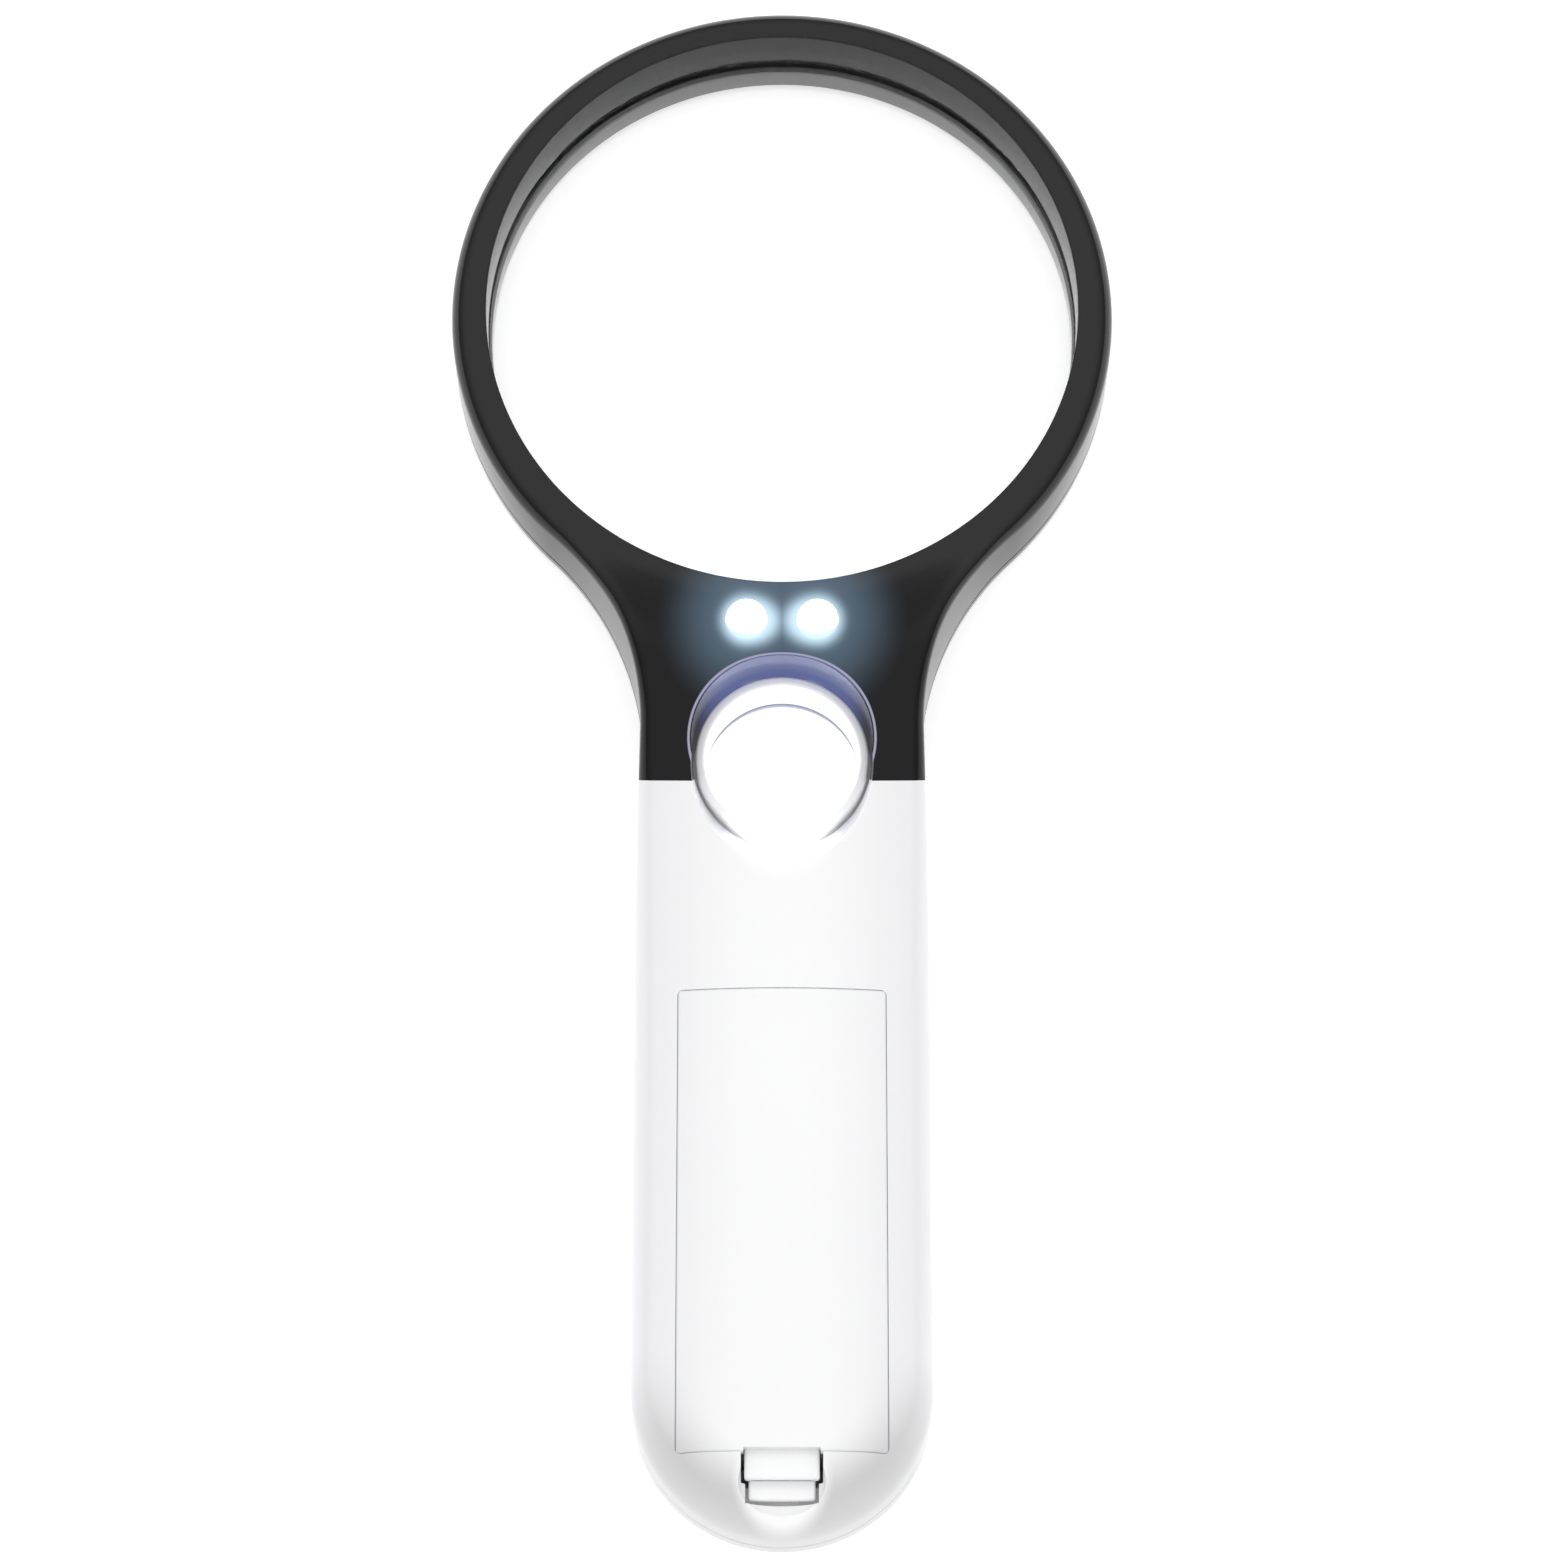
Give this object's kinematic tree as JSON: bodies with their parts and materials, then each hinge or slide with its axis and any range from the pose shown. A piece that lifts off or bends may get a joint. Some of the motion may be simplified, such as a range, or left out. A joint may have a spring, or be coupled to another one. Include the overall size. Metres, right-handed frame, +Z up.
{
  "type": "low vision magnifier",
  "caption": "Lighted hand magnifier for low vision: round main lens, small strong loupe in the neck, white lamps, battery handle with latched door and slide switch.",
  "frame": {"origin": "on the table plane under the middle of the overall length, with the magnifier lying on its front", "axes": "+Z up through the back, where the battery door and the lamps are; +Y from the handle towards the main lens; X across"},
  "size_m": [0.084, 0.2003, 0.0246],
  "materials": {
    "frame_black": "glossy black moulded plastic",
    "handle_white": "smooth white moulded plastic",
    "lens_acrylic": "clear polished lens",
    "knob_black": "fine matt black plastic",
    "lever_black": "black plastic",
    "switch_metal": "plated pressed steel",
    "board": "brown phenolic board",
    "resistor": "baked tan coating with colour bands",
    "led_epoxy": "clear epoxy, lit",
    "cell_jacket": "printed plastic film over steel",
    "contact_steel": "nickel-plated spring steel",
    "screw_steel": "zinc-plated steel",
    "wire_red": "red insulation",
    "wire_black": "black insulation"
  },
  "bodies": {
    "magnifier": {"lens_frame": "frame_black", "front_frame": "frame_black", "main_lens": "lens_acrylic", "loupe_barrel": "handle_white", "loupe_lens": "lens_acrylic", "eyepiece_ring": "frame_black", "handle_back": "handle_white", "handle_front": "handle_white", "switch_body": "switch_metal", "circuit_board": "board", "resistor": "resistor", "led_board": "board", "led_left": "led_epoxy", "led_right": "led_epoxy", "led_loupe": "led_epoxy", "cell_left": "cell_jacket", "spring_left": "contact_steel", "cell_right": "cell_jacket", "spring_right": "contact_steel", "cell_lower": "cell_jacket", "spring_lower": "contact_steel", "contact_positive": "contact_steel", "contact_bridge_upper": "contact_steel", "contact_bridge_lower": "contact_steel", "contact_negative": "contact_steel", "handle_screw_left_1": "screw_steel", "handle_screw_right_1": "screw_steel", "handle_screw_left_2": "screw_steel", "handle_screw_right_2": "screw_steel", "wire_led_red": "wire_red", "wire_led_black": "wire_black", "wire_battery_red": "wire_red", "wire_battery_black": "wire_black"},
    "door": {"battery_door": "handle_white"},
    "latch": {"door_latch": "handle_white"},
    "switch": {"switch_knob": "knob_black", "switch_lever": "lever_black"}
  },
  "joints": [
    {"name": "door_tilt", "type": "hinge", "parent": "magnifier", "child": "door", "pos_m": [0, -0.03515, 0.0245], "axis": [-1, 0, 0], "range_deg": [0, 60]},
    {"name": "latch_flex", "type": "hinge", "parent": "door", "child": "latch", "pos_m": [0, -0.09065, 0.0216], "axis": [1, 0, 0], "range_deg": [0, 5], "stiffness_Nm_per_rad": 0.25},
    {"name": "switch_slide", "type": "slide", "parent": "magnifier", "child": "switch", "axis": [0, 1, 0], "range_m": [-0.0035, 0]}
  ]
}
